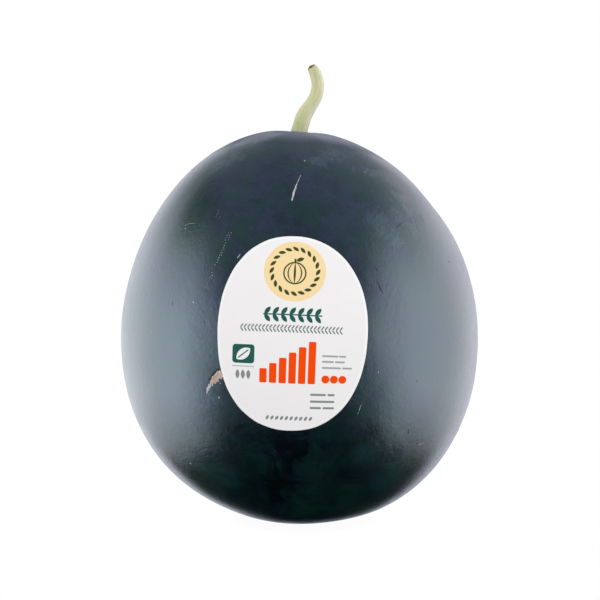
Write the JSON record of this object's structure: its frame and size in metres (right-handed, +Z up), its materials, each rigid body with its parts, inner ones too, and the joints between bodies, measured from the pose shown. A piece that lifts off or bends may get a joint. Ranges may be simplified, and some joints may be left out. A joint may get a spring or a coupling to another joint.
{
  "type": "watermelon",
  "caption": "Whole dark-rinded watermelon standing on its blossom end, with a short bent dried stem and an oval film label on its front.",
  "frame": {"origin": "middle of the small flat spot that the fruit rests on", "axes": "+Z up, from the blossom end to the stem; the label faces -Y; +X is to the right of a viewer who faces the label"},
  "size_m": [0.25, 0.2497, 0.3201],
  "materials": {
    "rind": "smooth, waxy, very dark green rind with faint darker stripes and a satin gloss",
    "dried_stem": "dry, pale yellow-green, lengthwise ribbed, matt",
    "label_film": "thin white printed film, satin"
  },
  "bodies": {
    "root": {"fruit": "rind", "stem": "dried_stem", "label": "label_film"}
  },
  "joints": []
}
